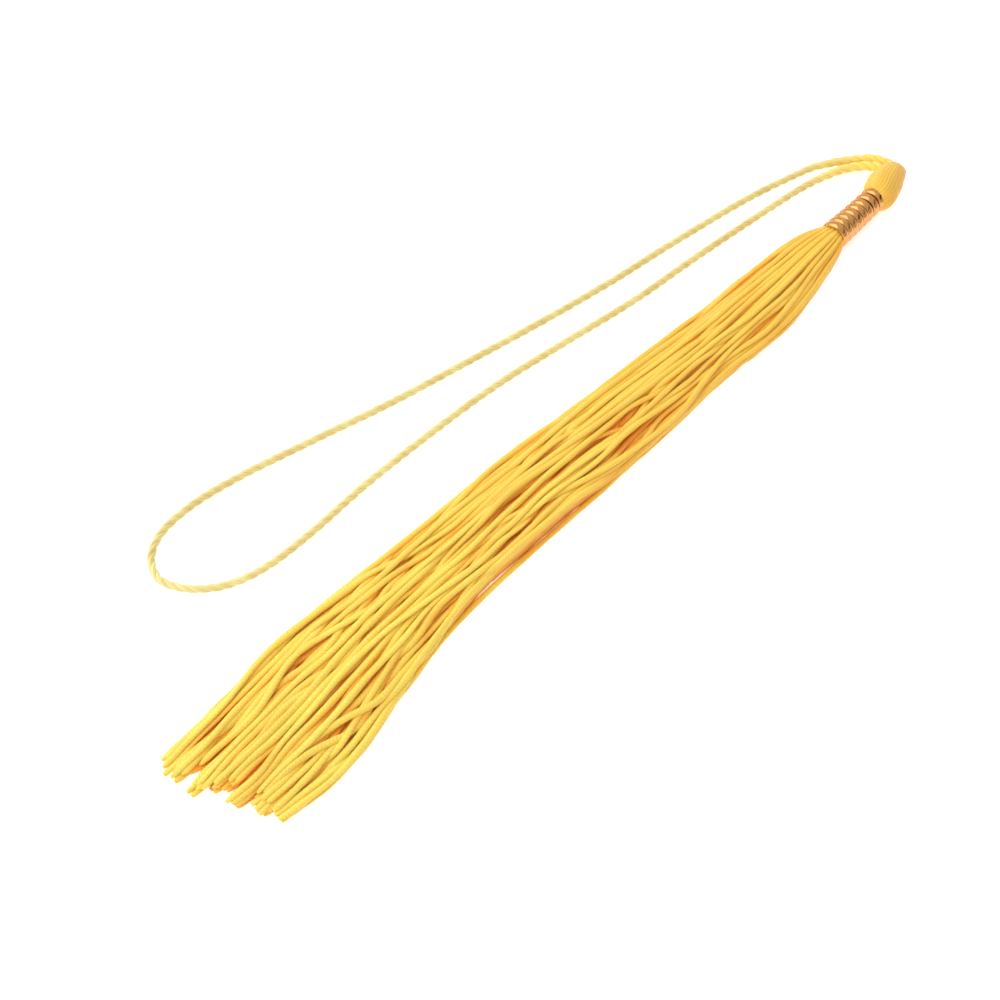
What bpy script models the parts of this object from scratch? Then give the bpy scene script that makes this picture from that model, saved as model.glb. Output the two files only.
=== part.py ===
# Graduation tassel lying on a flat surface: satin yarn folded over a hanging cord and bound at the neck.
# Lengths are in metres and +Z is up. The origin is on the head's flat underside, and +X runs along the
# tassel towards the head's tip. A station is a distance back from a line 10.5 mm ahead of the origin.
import math
import random

import bmesh
import bpy
from mathutils import Vector

MM = 0.001

# Driving dimensions
STATION_ZERO_X = 10.5 * MM
CORE_AXIS_Z = 4.1 * MM
NECK_RADIUS = 2.3 * MM
CLEARANCE = 0.3 * MM
WINDING_START = 15.7 * MM
WINDING_END = 32.0 * MM
WINDING_TURNS = 8
WINDING_OUTER_RADIUS = 3.3 * MM
WINDING_GROOVE_DEPTH = 0.4 * MM
CORD_DIAMETER = 1.8 * MM
CORD_SPACING = 2.2 * MM
CORD_POINTS = 80

# Head and neck: rings of points, with the yarn's folds as ridges
CORE_RING_POINTS = 36
CORE_RIDGES = 18
RIDGE_DEPTH = 0.15 * MM
HEAD_TWIST = math.radians(28)

# Strands of the skirt
STRAND_ROOT = 33.4 * MM
STRAND_REACH = 233.0 * MM
STRAND_STATIONS = 19
STRAND_MAX_WIDTH = 1.9 * MM
STRAND_GAP = 0.33 * MM
STRAND_TOP_SHARE = 0.72
END_JITTER = 1.8 * MM
SEED = 11

# Where both cord ends sit in the head: pocket floor, and the way the cords leave it
MOUTH_FLOOR = Vector((4.78, 2.23, 4.4)) * MM
MOUTH_ANGLE = math.radians(103)
MOUTH_DEPTH = 6.0 * MM

# Solid core, in millimetres: station, middle across, half width, half height, squareness, ridge share
CORE_SECTIONS = (
    (3.2, 1.1, 0.7, 0.7, 2.0, 0.0),
    (3.6, 1.2, 1.5, 1.4, 2.0, 0.5),
    (4.3, 1.3, 2.25, 2.2, 2.0, 1.0),
    (5.4, 1.25, 2.9, 2.9, 2.0, 1.0),
    (6.8, 1.05, 3.35, 3.4, 2.0, 1.0),
    (8.2, 0.85, 3.75, 3.8, 2.0, 1.0),
    (9.6, 0.6, 4.1, 4.1, 2.0, 1.0),
    (11.0, 0.3, 4.4, 4.25, 2.0, 1.0),
    (12.5, -0.1, 4.55, 4.3, 2.0, 1.0),
    (13.8, -0.4, 4.4, 4.2, 2.0, 1.0),
    (14.8, -0.45, 4.1, 3.9, 2.0, 1.0),
    (15.4, -0.3, 3.6, 3.4, 2.0, 1.0),
    (15.4, 0.0, 2.3, 2.3, 2.0, 0.0),
    (32.3, 0.0, 2.3, 2.3, 2.0, 0.0),
    (32.3, 0.2, 3.6, 3.1, 2.1, 1.0),
    (33.4, 0.45, 4.6, 3.3, 2.4, 1.0),
    (34.9, 0.7, 5.2, 3.4, 2.7, 1.0),
    (36.5, 0.9, 5.7, 3.5, 3.0, 1.0),
)

# Skirt outline, in millimetres: station, middle across, half width, underside, thickness
SKIRT_SECTIONS = (
    (33.4, 0.45, 4.6, 1.2, 5.9),
    (36.5, 0.9, 5.6, 1.0, 6.3),
    (40.0, 1.2, 6.1, 0.7, 6.6),
    (46.0, 1.1, 7.1, 0.3, 7.0),
    (53.0, 0.8, 8.0, 0.0, 7.3),
    (60.0, 0.9, 8.7, 0.0, 7.3),
    (70.0, 1.3, 8.6, 0.0, 7.1),
    (80.0, 2.3, 8.6, 0.0, 7.0),
    (100.0, 3.4, 9.5, 0.0, 6.8),
    (120.0, 4.8, 10.4, 0.0, 6.5),
    (140.0, 6.0, 10.9, 0.0, 6.2),
    (160.0, 6.7, 11.0, 0.0, 5.9),
    (170.0, 6.8, 11.6, 0.0, 5.7),
    (180.0, 6.6, 12.8, 0.0, 5.5),
    (190.0, 6.1, 13.8, 0.0, 5.3),
    (200.0, 5.2, 15.1, 0.0, 5.1),
    (210.0, 4.5, 15.3, 0.0, 4.9),
    (220.0, 4.6, 14.3, 0.0, 4.7),
    (233.0, 5.5, 13.6, 0.0, 4.4),
)

# Strand layers from the surface up: strands, share of the width at the root and lower down, wave phase
STRAND_LAYERS = (
    (14, 0.80, 1.00, 0.4),
    (14, 0.98, 0.97, 2.3),
    (12, 0.94, 0.86, 4.4),
    (9, 0.62, 0.64, 5.7),
)

# Waves of the strands in the share of the half width: size, wavelength in millimetres, shift across
WAVES = (
    (0.085, 86.0, 1.3),
    (0.045, 47.0, -2.1),
)
WAVE_START = 42.0 * MM
WAVE_FULL = 95.0 * MM

# Bunching towards the cut ends: bunches across, size, and where it starts and is full
BUNCHES = 2.5
BUNCH_SIZE = 0.36
BUNCH_START = 120.0 * MM
BUNCH_FULL = 215.0 * MM

# Cut ends, in millimetres: place across from -1 to 1, station of the mean cut
END_SECTIONS = (
    (-1.0, 218.5),
    (-0.8, 221.5),
    (-0.5, 222.3),
    (-0.2, 225.0),
    (0.1, 226.3),
    (0.3, 229.4),
    (0.6, 229.4),
    (1.0, 227.5),
)

# Free route of the doubled cord on the surface, in millimetres, from the outer leg round to the inner one
CORD_ROUTE = (
    (4.60, 7.97, 4.10),
    (2.40, 11.50, 2.95),
    (-0.02, 14.26, 2.15),
    (-2.60, 16.44, 1.60),
    (-5.39, 18.34, 1.25),
    (-12.0, 20.7, 0.97),
    (-24.0, 24.0, 0.95),
    (-48.0, 28.6, 0.95),
    (-68.0, 31.9, 0.95),
    (-88.0, 36.0, 0.95),
    (-108.0, 40.7, 0.95),
    (-128.0, 45.5, 0.95),
    (-148.0, 51.3, 0.95),
    (-168.0, 56.8, 0.95),
    (-179.0, 58.5, 0.95),
    (-187.5, 57.8, 0.95),
    (-192.5, 54.7, 0.95),
    (-194.5, 49.7, 0.95),
    (-192.3, 44.2, 0.95),
    (-188.0, 39.7, 0.95),
    (-183.0, 36.9, 0.95),
    (-176.0, 35.0, 0.95),
    (-164.0, 34.2, 0.95),
    (-148.0, 34.3, 0.95),
    (-128.0, 33.2, 0.95),
    (-108.0, 31.3, 0.95),
    (-88.0, 27.8, 0.95),
    (-68.0, 24.1, 0.95),
    (-48.0, 21.7, 0.95),
    (-24.0, 18.3, 0.95),
    (-12.0, 16.3, 0.97),
    (-7.07, 14.82, 1.25),
    (-4.34, 13.64, 1.60),
    (-1.78, 12.20, 2.15),
    (0.68, 9.92, 2.95),
    (2.29, 7.35, 3.85),
)

# Colours from the photo: yellow satin yarn, copper-gold wire, paler cord
YARN_COLOUR = (0.93, 0.56, 0.075, 1.0)
WINDING_COLOUR = (0.62, 0.30, 0.10, 1.0)
CORD_COLOUR = (0.86, 0.66, 0.22, 1.0)


def smoothstep(low, high, value):
    share = min(1.0, max(0.0, (value - low) / (high - low)))
    return share * share * (3.0 - 2.0 * share)


def read_table(table, station):
    # A smooth curve runs through each column, and its slope at a row is the mean slope around it
    rows = len(table)
    place = min(max(station, table[0][0]), table[-1][0])
    after = next(index for index in range(1, rows) if place <= table[index][0])
    left = table[after - 1]
    right = table[after]
    before = table[max(after - 2, 0)]
    beyond = table[min(after + 1, rows - 1)]
    span = right[0] - left[0]
    share = (place - left[0]) / span
    values = []
    for column in range(1, len(left)):
        slope_left = (right[column] - before[column]) / (right[0] - before[0])
        slope_right = (beyond[column] - left[column]) / (beyond[0] - left[0])
        rise = right[column] - left[column]
        bend_left = slope_left * span - rise
        bend_right = rise - slope_right * span
        bend = share * (1.0 - share) * ((1.0 - share) * bend_left + share * bend_right)
        values.append(left[column] + rise * share + bend)
    return values


def make_collection(name):
    collection = bpy.data.collections.new(name)
    bpy.context.scene.collection.children.link(collection)
    return collection


def make_material(name, colour, roughness, metallic):
    material = bpy.data.materials.new(name)
    material.use_nodes = True
    shader = material.node_tree.nodes["Principled BSDF"]
    shader.inputs["Base Color"].default_value = colour
    shader.inputs["Roughness"].default_value = roughness
    shader.inputs["Metallic"].default_value = metallic
    return material


def add_object(name, bm, collection, material=None):
    bmesh.ops.recalc_face_normals(bm, faces=bm.faces)
    mesh = bpy.data.meshes.new(name)
    bm.to_mesh(mesh)
    bm.free()
    obj = bpy.data.objects.new(name, mesh)
    collection.objects.link(obj)
    if material:
        mesh.materials.append(material)
        mesh.shade_smooth()
        mesh.set_sharp_from_angle(angle=math.radians(40))
    return obj


def bridge_rings(bm, rings, cap_ends=True):
    for ring, following in zip(rings, rings[1:]):
        count = len(ring)
        for index in range(count):
            after = (index + 1) % count
            bm.faces.new((ring[index], ring[after], following[after], following[index]))
    if cap_ends:
        bm.faces.new(rings[0])
        bm.faces.new(tuple(reversed(rings[-1])))


def rounded_point(angle, squareness):
    # One point of a circle that grows squarer as its exponent rises from 2
    across = math.copysign(abs(math.cos(angle)) ** (2.0 / squareness), math.cos(angle))
    upward = math.copysign(abs(math.sin(angle)) ** (2.0 / squareness), math.sin(angle))
    return across, upward


def build_core(collection, material):
    # Head, neck and flared root of the skirt in one ridged loft, with a flat spot under the head
    bm = bmesh.new()
    rings = []
    for station, middle, half_width, half_height, squareness, ridge_share in CORE_SECTIONS:
        twist = HEAD_TWIST * min(station * MM / WINDING_START, 1.0)
        ring = []
        for index in range(CORE_RING_POINTS):
            turn = 2.0 * math.pi * index / CORE_RING_POINTS
            across, upward = rounded_point(turn + twist, squareness)
            ridge = RIDGE_DEPTH * ridge_share * math.cos(CORE_RIDGES * turn)
            y = middle * MM + across * (half_width * MM + ridge)
            z = CORE_AXIS_Z + upward * (half_height * MM + ridge)
            ring.append(bm.verts.new((STATION_ZERO_X - station * MM, y, max(z, 0.0))))
        rings.append(ring)
    bridge_rings(bm, rings)
    return add_object("yarn_hank", bm, collection, material)


def place_across(share, station, phase):
    # Waves and bunches move a strand sideways and keep the strands of one layer in their order
    moved = share
    rise = smoothstep(WAVE_START, WAVE_FULL, station)
    for size, wavelength, shift in WAVES:
        angle = 2.0 * math.pi * station / (wavelength * MM) + phase + shift * share
        moved += size * rise * (1.0 - share * share) * math.sin(angle)
    bunch = BUNCH_SIZE * smoothstep(BUNCH_START, BUNCH_FULL, station)
    turn = math.pi * BUNCHES
    moved += bunch * (1.0 - share * share) * math.sin(turn * moved + phase) / turn
    return moved


def layer_places(layer, station):
    # Middles of one layer's strands across the skirt, with its outline at this station
    count, root_share, full_share, phase = STRAND_LAYERS[layer]
    middle, half_width, underside, thickness = read_table(SKIRT_SECTIONS, station / MM)
    width_share = root_share + (full_share - root_share) * smoothstep(STRAND_ROOT, WAVE_FULL, station)
    places = []
    for lane in range(count):
        share = (2.0 * lane + 1.0) / count - 1.0
        across = place_across(share, station, phase)
        places.append((middle + half_width * width_share * across) * MM)
    return places, max(underside, 0.0) * MM, thickness * MM


def strand_section(layer, lane, station):
    # Four corners: a flat foot on the layer below and a narrower top
    places, underside, thickness = layer_places(layer, station)
    steps = [abs(places[lane] - places[near]) for near in (lane - 1, lane + 1) if 0 <= near < len(places)]
    width = min(min(steps) - STRAND_GAP, STRAND_MAX_WIDTH)
    pitch = thickness / len(STRAND_LAYERS)
    foot = underside + layer * pitch
    top = foot + pitch - STRAND_GAP
    half_foot = width / 2.0
    half_top = half_foot * STRAND_TOP_SHARE
    y = places[lane]
    return ((y - half_foot, foot), (y + half_foot, foot), (y + half_top, top), (y - half_top, top))


def strand_stations(end):
    # Closer steps near the root, where the skirt widens fastest
    stations = []
    for index in range(STRAND_STATIONS):
        share = index / (STRAND_STATIONS - 1)
        station = STRAND_ROOT + (STRAND_REACH - STRAND_ROOT) * (0.55 * share + 0.45 * share * share)
        if station < end - 4.0 * MM:
            stations.append(station)
    stations.append(end)
    return stations


def build_strands(collection):
    # All strands as closed bodies that stand apart, ready to be joined to the core
    chance = random.Random(SEED)
    bm = bmesh.new()
    for layer, (count, *_) in enumerate(STRAND_LAYERS):
        for lane in range(count):
            share = (2.0 * lane + 1.0) / count - 1.0
            end = read_table(END_SECTIONS, share)[0] * MM + chance.uniform(-END_JITTER, END_JITTER)
            rings = []
            for station in strand_stations(end):
                corners = strand_section(layer, lane, station)
                rings.append([bm.verts.new((STATION_ZERO_X - station, y, z)) for y, z in corners])
            bridge_rings(bm, rings)
    return add_object("strand_bodies", bm, collection)


def add_boolean(target, cutter, operation):
    modifier = target.modifiers.new(cutter.name, "BOOLEAN")
    modifier.operation = operation
    modifier.solver = "EXACT"
    modifier.object = cutter
    cutter.hide_render = True
    cutter.display_type = "WIRE"


def mouth_directions():
    leaving = Vector((math.cos(MOUTH_ANGLE), math.sin(MOUTH_ANGLE), 0.0))
    sideways = Vector((leaving.y, -leaving.x, 0.0))
    return leaving, sideways


def cut_cord_pockets(core, collection):
    # One round pocket for each leg of the cord, side by side in the head's shoulder
    leaving, sideways = mouth_directions()
    for name, side in (("outer_pocket", 0.5), ("inner_pocket", -0.5)):
        bm = bmesh.new()
        bmesh.ops.create_cone(
            bm,
            cap_ends=True,
            segments=16,
            radius1=CORD_DIAMETER / 2.0 + CLEARANCE,
            radius2=CORD_DIAMETER / 2.0 + CLEARANCE,
            depth=MOUTH_DEPTH,
        )
        pocket = add_object(name, bm, collection)
        pocket.location = MOUTH_FLOOR + sideways * CORD_SPACING * side + leaving * MOUTH_DEPTH / 2.0
        pocket.rotation_euler = leaving.to_track_quat("Z", "Y").to_euler()
        add_boolean(core, pocket, "DIFFERENCE")


def build_winding(collection, material):
    # Wire wound round the neck: a sleeve whose outside carries the turns as a helical ridge
    steps_per_turn = 5
    ring_points = 18
    steps = WINDING_TURNS * steps_per_turn
    length = WINDING_END - WINDING_START
    bm = bmesh.new()

    def ring_at(station, radius_at):
        ring = []
        for index in range(ring_points):
            turn = 2.0 * math.pi * index / ring_points
            radius = radius_at(turn)
            y = radius * math.cos(turn)
            z = CORE_AXIS_Z + radius * math.sin(turn)
            ring.append(bm.verts.new((STATION_ZERO_X - station, y, z)))
        return ring

    outside = []
    for step in range(steps + 1):
        along = step / steps
        wave = 2.0 * math.pi * WINDING_TURNS * along

        def ridged_radius(turn, wave=wave):
            hollow = 0.5 - 0.5 * math.cos(wave - turn)
            return WINDING_OUTER_RADIUS - WINDING_GROOVE_DEPTH * (1.0 - hollow) ** 1.5

        outside.append(ring_at(WINDING_START + length * along, ridged_radius))
    inner_radius = NECK_RADIUS + CLEARANCE
    inner_first = ring_at(WINDING_START, lambda turn: inner_radius)
    inner_last = ring_at(WINDING_END, lambda turn: inner_radius)
    bridge_rings(bm, [inner_first] + outside + [inner_last, inner_first], cap_ends=False)
    return add_object("neck_winding", bm, collection, material)


def smooth_route(points, count):
    # Evenly spaced points on a smooth curve through the route's own points
    fine = []
    steps = 24
    padded = [points[0] * 2.0 - points[1]] + points + [points[-1] * 2.0 - points[-2]]
    for index in range(1, len(padded) - 2):
        p0, p1, p2, p3 = padded[index - 1:index + 3]
        t1 = math.sqrt((p1 - p0).length)
        t2 = t1 + math.sqrt((p2 - p1).length)
        t3 = t2 + math.sqrt((p3 - p2).length)
        for step in range(steps):
            t = t1 + (t2 - t1) * step / steps
            a1 = p0.lerp(p1, t / t1)
            a2 = p1.lerp(p2, (t - t1) / (t2 - t1))
            a3 = p2.lerp(p3, (t - t2) / (t3 - t2))
            b1 = a1.lerp(a2, t / t2)
            b2 = a2.lerp(a3, (t - t1) / (t3 - t1))
            fine.append(b1.lerp(b2, (t - t1) / (t2 - t1)))
    fine.append(points[-1])
    travelled = [0.0]
    for start, finish in zip(fine, fine[1:]):
        travelled.append(travelled[-1] + (finish - start).length)
    even = []
    segment = 0
    for index in range(count):
        wanted = travelled[-1] * index / (count - 1)
        while segment < len(fine) - 2 and travelled[segment + 1] < wanted:
            segment += 1
        share = (wanted - travelled[segment]) / (travelled[segment + 1] - travelled[segment])
        even.append(fine[segment].lerp(fine[segment + 1], min(share, 1.0)))
    return even


def build_cord(collection, material):
    leaving, sideways = mouth_directions()
    outer_end = MOUTH_FLOOR + leaving * CLEARANCE + sideways * CORD_SPACING * 0.5
    inner_end = MOUTH_FLOOR + leaving * CLEARANCE - sideways * CORD_SPACING * 0.5
    straight = leaving * 3.0 * MM
    free = [Vector(point) * MM for point in CORD_ROUTE]
    route = [outer_end, outer_end + straight] + free + [inner_end + straight, inner_end]
    curve = bpy.data.curves.new("hanging_cord", "CURVE")
    curve.dimensions = "3D"
    curve.bevel_depth = CORD_DIAMETER / 2.0
    curve.bevel_resolution = 2
    curve.use_fill_caps = True
    spline = curve.splines.new("POLY")
    points = smooth_route(route, CORD_POINTS)
    spline.points.add(len(points) - 1)
    for target, point in zip(spline.points, points):
        target.co = (point.x, point.y, point.z, 1.0)
    spline.use_smooth = True
    cord = bpy.data.objects.new("hanging_cord", curve)
    collection.objects.link(cord)
    curve.materials.append(material)
    return cord


def main():
    for old in list(bpy.data.objects):
        bpy.data.objects.remove(old, do_unlink=True)
    parts = make_collection("Graduation tassel")
    cutters = make_collection("Cutters")
    yarn = make_material("satin_yarn", YARN_COLOUR, 0.45, 0.0)
    wire = make_material("copper_wire", WINDING_COLOUR, 0.28, 1.0)
    cord = make_material("pale_cord", CORD_COLOUR, 0.55, 0.0)
    core = build_core(parts, yarn)
    cut_cord_pockets(core, cutters)
    strands = build_strands(cutters)
    add_boolean(core, strands, "UNION")
    build_winding(parts, wire)
    build_cord(parts, cord)


main()
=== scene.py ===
import math
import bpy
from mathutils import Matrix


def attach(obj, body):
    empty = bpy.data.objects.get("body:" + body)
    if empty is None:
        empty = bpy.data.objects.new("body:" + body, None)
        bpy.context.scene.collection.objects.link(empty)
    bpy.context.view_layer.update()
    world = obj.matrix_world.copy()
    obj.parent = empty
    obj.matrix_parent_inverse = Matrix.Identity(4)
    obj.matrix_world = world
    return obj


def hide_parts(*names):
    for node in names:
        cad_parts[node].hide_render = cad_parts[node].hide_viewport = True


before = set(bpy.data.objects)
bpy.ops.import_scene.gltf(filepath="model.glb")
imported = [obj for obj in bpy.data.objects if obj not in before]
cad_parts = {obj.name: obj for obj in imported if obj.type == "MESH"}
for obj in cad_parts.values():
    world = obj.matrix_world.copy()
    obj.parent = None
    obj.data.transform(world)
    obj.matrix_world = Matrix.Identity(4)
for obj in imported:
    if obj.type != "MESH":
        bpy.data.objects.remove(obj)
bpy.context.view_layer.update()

from types import SimpleNamespace

import bmesh
import bpy
import numpy as np
from mathutils import Vector

# The frame is the CAD's: origin under the head, +X along the tassel to the head's tip, +Z up.
# A station is a distance behind the head's tip, and tables and settings are in millimetres.
mm = 0.001
headTip = 10.5
axisHeight = 4.1  # middle of the head and neck above the table


# Small helpers

def smoothStep(low, high, value):
    share = np.clip((np.asarray(value, float) - low) / (high - low), 0.0, 1.0)
    return share * share * (3.0 - 2.0 * share)


def readTable(table, station):
    # smooth curves through the rows, one value for each column after the first
    rows = len(table)
    place = min(max(station, table[0][0]), table[-1][0])
    after = next(index for index in range(1, rows) if place <= table[index][0])
    left, right = table[after - 1], table[after]
    before, beyond = table[max(after - 2, 0)], table[min(after + 1, rows - 1)]
    span = right[0] - left[0]
    share = (place - left[0]) / span
    values = []
    for column in range(1, len(left)):
        slopeLeft = (right[column] - before[column]) / (right[0] - before[0])
        slopeRight = (beyond[column] - left[column]) / (beyond[0] - left[0])
        rise = right[column] - left[column]
        bend = (1 - share) * (slopeLeft * span - rise) + share * (rise - slopeRight * span)
        values.append(left[column] + rise * share + share * (1 - share) * bend)
    return values


def addNode(tree, kind, **fields):
    node = tree.nodes.new(kind)
    for field, value in fields.items():
        setattr(node, field, value)
    return node


def feed(tree, socket, value):
    # a socket takes another node's output or a plain value
    if isinstance(value, bpy.types.NodeSocket):
        tree.links.new(value, socket)
    else:
        socket.default_value = value


def setInputs(node, values):
    for label, value in values.items():
        node.inputs[label].default_value = value


def math2(tree, operation, first, second=None, third=None):
    node = addNode(tree, "ShaderNodeMath", operation=operation)
    for socket, value in zip(node.inputs, (first, second, third)):
        if value is not None:
            feed(tree, socket, value)
    return node.outputs[0]


def newTree(name, inputs):
    # a geometry tree with named inputs, the object's own geometry first
    tree = bpy.data.node_groups.new(name, "GeometryNodeTree")
    tree.interface.new_socket("Geometry", in_out="INPUT", socket_type="NodeSocketGeometry")
    for label, kind in inputs:
        tree.interface.new_socket(label, in_out="INPUT", socket_type=kind)
    tree.interface.new_socket("Geometry", in_out="OUTPUT", socket_type="NodeSocketGeometry")
    entry = addNode(tree, "NodeGroupInput")
    leave = addNode(tree, "NodeGroupOutput")
    return tree, entry.outputs, leave.inputs


def runTree(obj, tree, values, name):
    # sets the inputs by identifier, then keeps the result as a plain mesh
    modifier = obj.modifiers.new(tree.name, "NODES")
    modifier.node_group = tree
    for item in tree.interface.items_tree:
        if item.in_out == "INPUT" and item.name in values:
            modifier[item.identifier] = values[item.name]
    graph = bpy.context.evaluated_depsgraph_get()
    mesh = bpy.data.meshes.new_from_object(obj.evaluated_get(graph))
    mesh.name = name
    bpy.data.objects.remove(obj, do_unlink=True)
    piece = bpy.data.objects.new(name, mesh)
    bpy.context.scene.collection.objects.link(piece)
    print(name, "triangles", sum(len(face.vertices) - 2 for face in mesh.polygons))
    return piece


def storeValue(tree, geometry, name, value, domain="POINT"):
    node = addNode(tree, "GeometryNodeStoreNamedAttribute", data_type="FLOAT", domain=domain)
    feed(tree, node.inputs["Geometry"], geometry)
    node.inputs["Name"].default_value = name
    feed(tree, node.inputs["Value"], value)
    return node.outputs[0]


def readValue(tree, name):
    node = addNode(tree, "GeometryNodeInputNamedAttribute", data_type="FLOAT")
    node.inputs["Name"].default_value = name
    return node.outputs[0]


def axesOf(tree, vector):
    node = addNode(tree, "ShaderNodeSeparateXYZ")
    feed(tree, node.inputs[0], vector)
    return node.outputs


def ringProfile(tree, points, acrossAxis="X", upwardAxis="Y"):
    # a unit circle whose points keep their place across and upward for the materials
    circle = addNode(tree, "GeometryNodeCurvePrimitiveCircle")
    feed(tree, circle.inputs["Resolution"], points)
    circle.inputs["Radius"].default_value = 1.0
    place = axesOf(tree, addNode(tree, "GeometryNodeInputPosition").outputs[0])
    profile = storeValue(tree, circle.outputs["Curve"], "across", place[acrossAxis])
    return storeValue(tree, profile, "upward", place[upwardAxis])


def squashProfile(tree, profile, x, y):
    size = addNode(tree, "ShaderNodeCombineXYZ")
    for axis, value in (("X", x), ("Y", y), ("Z", 1.0)):
        feed(tree, size.inputs[axis], value)
    squash = addNode(tree, "GeometryNodeTransform")
    feed(tree, squash.inputs["Geometry"], profile)
    feed(tree, squash.inputs["Scale"], size.outputs[0])
    return squash.outputs[0]


def sweepLine(tree, line, profile, scale=1.0):
    sweep = addNode(tree, "GeometryNodeCurveToMesh")
    feed(tree, sweep.inputs["Curve"], line)
    feed(tree, sweep.inputs["Profile Curve"], profile)
    feed(tree, sweep.inputs["Scale"], scale)
    sweep.inputs["Fill Caps"].default_value = True
    return sweep.outputs[0]


def finishTree(tree, geometry, material, leave):
    smooth = addNode(tree, "GeometryNodeSetShadeSmooth")
    feed(tree, smooth.inputs["Geometry"], geometry)
    realize = addNode(tree, "GeometryNodeRealizeInstances")
    feed(tree, realize.inputs["Geometry"], smooth.outputs[0])
    finish = addNode(tree, "GeometryNodeSetMaterial")
    feed(tree, finish.inputs["Geometry"], realize.outputs[0])
    feed(tree, finish.inputs["Material"], material)
    feed(tree, leave["Geometry"], finish.outputs[0])


def curveObject(name, lines):
    # one poly spline for each line of (x, y, z) points
    curve = bpy.data.curves.new(name, "CURVE")
    curve.dimensions = "3D"
    curve.twist_mode = "Z_UP"
    for line in lines:
        spline = curve.splines.new("POLY")
        spline.points.add(len(line) - 1)
        for point, (x, y, z) in zip(spline.points, line):
            point.co = (x * mm, y * mm, z * mm, 1.0)
            point.radius = mm
    obj = bpy.data.objects.new(name, curve)
    bpy.context.scene.collection.objects.link(obj)
    return obj


def lineObject(name, lines):
    # strands as runs of edges whose points carry their size, roll and amount of painted shade, from how deep they lie
    # under others or which way they face
    mesh = bpy.data.meshes.new(name)
    places, edges = [], []
    for line in lines:
        edges += [(len(places) + step, len(places) + step + 1) for step in range(len(line) - 1)]
        places += line
    mesh.from_pydata([(x * mm, y * mm, z * mm) for x, y, z, *_ in places], edges, [])
    for label, column, scale in (("size", 3, mm), ("roll", 4, 1.0), ("deep", 5, 1.0)):
        layer = mesh.attributes.new(label, "FLOAT", "POINT")
        layer.data.foreach_set("value", [place[column] * scale for place in places])
    obj = bpy.data.objects.new(name, mesh)
    bpy.context.scene.collection.objects.link(obj)
    return obj


# Camera at the photograph's angle

cameraSettings = {
    "target": (-129.9, 10.2, 0.0), "azimuth": -46.84, "elevation": 60.0, "distance": 332.0,
    "lens": 54.0, "sensor": 36.0,
}


def makeCamera(settings):
    azimuth = math.radians(settings["azimuth"])
    elevation = math.radians(settings["elevation"])
    flat = math.cos(elevation)
    look = Vector((-math.sin(azimuth) * flat, math.cos(azimuth) * flat, -math.sin(elevation)))
    data = bpy.data.cameras.new("camera")
    data.lens = settings["lens"]
    data.sensor_width = settings["sensor"]
    data.clip_start = 10.0 * mm
    camera = bpy.data.objects.new("camera", data)
    camera.location = (Vector(settings["target"]) - look * settings["distance"]) * mm
    camera.rotation_euler = look.to_track_quat("-Z", "Y").to_euler()
    bpy.context.scene.collection.objects.link(camera)
    bpy.context.scene.camera = camera


makeCamera(cameraSettings)
print("camera made")


# Shader groups that more than one material uses

def newGroup(name, inputs):
    # a group with named values that gives a height
    group = bpy.data.node_groups.new(name, "ShaderNodeTree")
    for label, value in inputs:
        socket = group.interface.new_socket(label, in_out="INPUT", socket_type="NodeSocketFloat")
        socket.default_value = value
    group.interface.new_socket("Height", in_out="OUTPUT", socket_type="NodeSocketFloat")
    entry = addNode(group, "NodeGroupInput")
    leave = addNode(group, "NodeGroupOutput")
    return group, entry.outputs, leave.inputs


def attributeValue(tree, name):
    return addNode(tree, "ShaderNodeAttribute", attribute_name=name).outputs["Fac"]


def makeFibreGroup():
    # fine fibres that wind round a ply or wire: a height from -1 to 1
    group, entry, leave = newGroup("woundFibres", (("Lay", 0.004), ("Fibres", 9.0)))
    along = attributeValue(group, "along")
    turn = math2(group, "ARCTAN2", attributeValue(group, "upward"), attributeValue(group, "across"))
    advance = math2(group, "MULTIPLY", math2(group, "DIVIDE", along, entry["Lay"]), 2.0 * math.pi)
    phase = math2(group, "MULTIPLY_ADD", turn, entry["Fibres"], advance)
    feed(group, leave["Height"], math2(group, "SINE", phase))
    return group


def makeStitchGroup():
    # slanted stitches of a knitted strand: a height from -1 to 1
    group, entry, leave = newGroup("knitStitches", (("Stitch length", 0.0012), ("Slant", 0.7)))
    along = math2(group, "DIVIDE", attributeValue(group, "along"), entry["Stitch length"])
    side = math2(group, "ABSOLUTE", attributeValue(group, "across"))
    phase = math2(group, "MULTIPLY_ADD", side, entry["Slant"], along)
    feed(group, leave["Height"], math2(group, "SINE", math2(group, "MULTIPLY", phase, 2.0 * math.pi)))
    return group


fibreGroup = makeFibreGroup()
stitchGroup = makeStitchGroup()


# Parts of materials

def newMaterial(name):
    material = bpy.data.materials.new(name)
    material.use_nodes = True
    tree = material.node_tree
    return material, tree, tree.nodes["Principled BSDF"]


def mixColour(tree, share, first, second):
    node = addNode(tree, "ShaderNodeMix", data_type="RGBA")
    feed(tree, node.inputs["Factor"], share)
    feed(tree, node.inputs["A"], first)
    feed(tree, node.inputs["B"], second)
    return node.outputs["Result"]


def rangeOf(tree, value, low, high, newLow, newHigh):
    node = addNode(tree, "ShaderNodeMapRange")
    feed(tree, node.inputs["Value"], value)
    setInputs(node, {"From Min": low, "From Max": high, "To Min": newLow, "To Max": newHigh})
    return node.outputs["Result"]


def noiseValue(tree, scale, detail=2.0):
    place = addNode(tree, "ShaderNodeTexCoord")
    node = addNode(tree, "ShaderNodeTexNoise")
    feed(tree, node.inputs["Vector"], place.outputs["Object"])
    setInputs(node, {"Scale": scale, "Detail": detail})
    return node.outputs["Fac"]


def patternHeight(tree, group, values):
    # one of the shader groups, placed with its own values
    node = addNode(tree, "ShaderNodeGroup", node_tree=group)
    setInputs(node, values)
    return node.outputs["Height"]


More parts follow.
